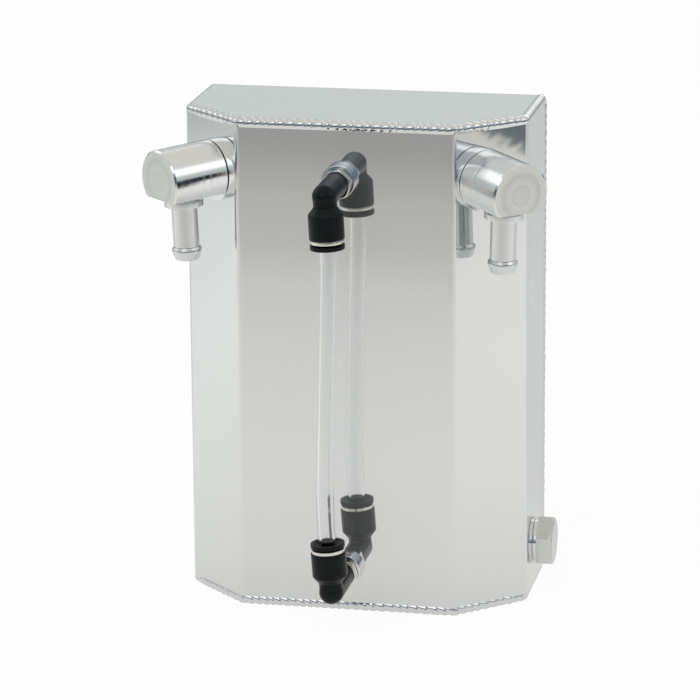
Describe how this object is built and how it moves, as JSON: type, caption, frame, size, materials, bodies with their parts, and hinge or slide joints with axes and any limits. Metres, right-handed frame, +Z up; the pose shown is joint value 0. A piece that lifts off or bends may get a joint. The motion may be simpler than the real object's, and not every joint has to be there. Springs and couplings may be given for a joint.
{
  "type": "oil catch can",
  "caption": "Welded aluminium oil catch can with chamfered front corners, swivelling hose barbs, a sight tube between push-fit elbows and a side drain plug.",
  "frame": {"origin": "middle of the tank's flat underside", "axes": "+Z up, -Y out of the front with the sight tube, +X towards the drain plug"},
  "size_m": [0.1768, 0.1156, 0.221],
  "materials": {
    "tank_sheet": "polished",
    "weld_bead": "bright rippled",
    "turned_aluminium": "turned",
    "black_acetal": "matt",
    "seal_rubber": "matt",
    "spring_steel": "plain",
    "nickel_plate": "bright",
    "black_plastic": "satin",
    "clear_tube": "clear",
    "drain_steel": "plated"
  },
  "bodies": {
    "tank": {"wrap_panel": "tank_sheet", "back_channel": "tank_sheet", "baffle_plate": "tank_sheet", "top_weld": "weld_bead", "bottom_weld": "weld_bead", "rear_weld_left": "weld_bead", "rear_weld_right": "weld_bead", "mounting_bosses": "turned_aluminium", "gauge_boss_upper": "turned_aluminium", "gauge_boss_lower": "turned_aluminium", "drain_boss": "turned_aluminium", "port_bung_left": "turned_aluminium", "port_bung_right": "turned_aluminium", "thrust_washer_left": "black_acetal", "thrust_washer_right": "black_acetal", "tube_seal_upper": "seal_rubber", "tube_seal_lower": "seal_rubber", "grip_ring_upper": "spring_steel", "grip_ring_lower": "spring_steel", "elbow_stem_upper": "nickel_plate", "elbow_ring_upper": "nickel_plate", "elbow_stem_lower": "nickel_plate", "elbow_ring_lower": "nickel_plate", "elbow_body_upper": "black_plastic", "elbow_body_lower": "black_plastic", "sight_tube": "clear_tube"},
    "left_port": {"swivel_head_left": "turned_aluminium", "hose_barb_left": "turned_aluminium", "spigot_o_ring_left": "seal_rubber", "retaining_clip_left": "spring_steel"},
    "right_port": {"swivel_head_right": "turned_aluminium", "hose_barb_right": "turned_aluminium", "spigot_o_ring_right": "seal_rubber", "retaining_clip_right": "spring_steel"},
    "upper_collar": {"release_collar_upper": "black_plastic"},
    "lower_collar": {"release_collar_lower": "black_plastic"},
    "drain_seal": {"drain_washer": "turned_aluminium"},
    "drain_screw": {"drain_plug": "drain_steel"}
  },
  "joints": [
    {"name": "left_port_swivel", "type": "hinge", "parent": "tank", "child": "left_port", "pos_m": [-0.05813, -0.02829, 0.1955], "axis": [-0.6771, -0.734, -0.0523], "continuous": true},
    {"name": "right_port_swivel", "type": "hinge", "parent": "tank", "child": "right_port", "pos_m": [0.05813, -0.02829, 0.1955], "axis": [0.6771, -0.734, -0.0523], "continuous": true},
    {"name": "upper_collar_press", "type": "slide", "parent": "tank", "child": "upper_collar", "axis": [-0.0471, 0, 0.9989], "range_m": [0, 0.0006], "stiffness_N_per_m": 1500},
    {"name": "lower_collar_press", "type": "slide", "parent": "tank", "child": "lower_collar", "axis": [0.0698, 0, -0.9976], "range_m": [0, 0.0006], "stiffness_N_per_m": 1500},
    {"name": "drain_travel", "type": "slide", "parent": "tank", "child": "drain_seal", "axis": [1, 0, 0], "range_m": [0, 0.012]},
    {"name": "drain_unscrew", "type": "hinge", "parent": "drain_seal", "child": "drain_screw", "pos_m": [0.076, 0.013, 0.0205], "axis": [1, 0, 0], "range_deg": [0, 2880]}
  ],
  "couplings": [
    {"joint": "drain_travel", "follows": "drain_unscrew", "m_per_rad": 0.00023873}
  ]
}
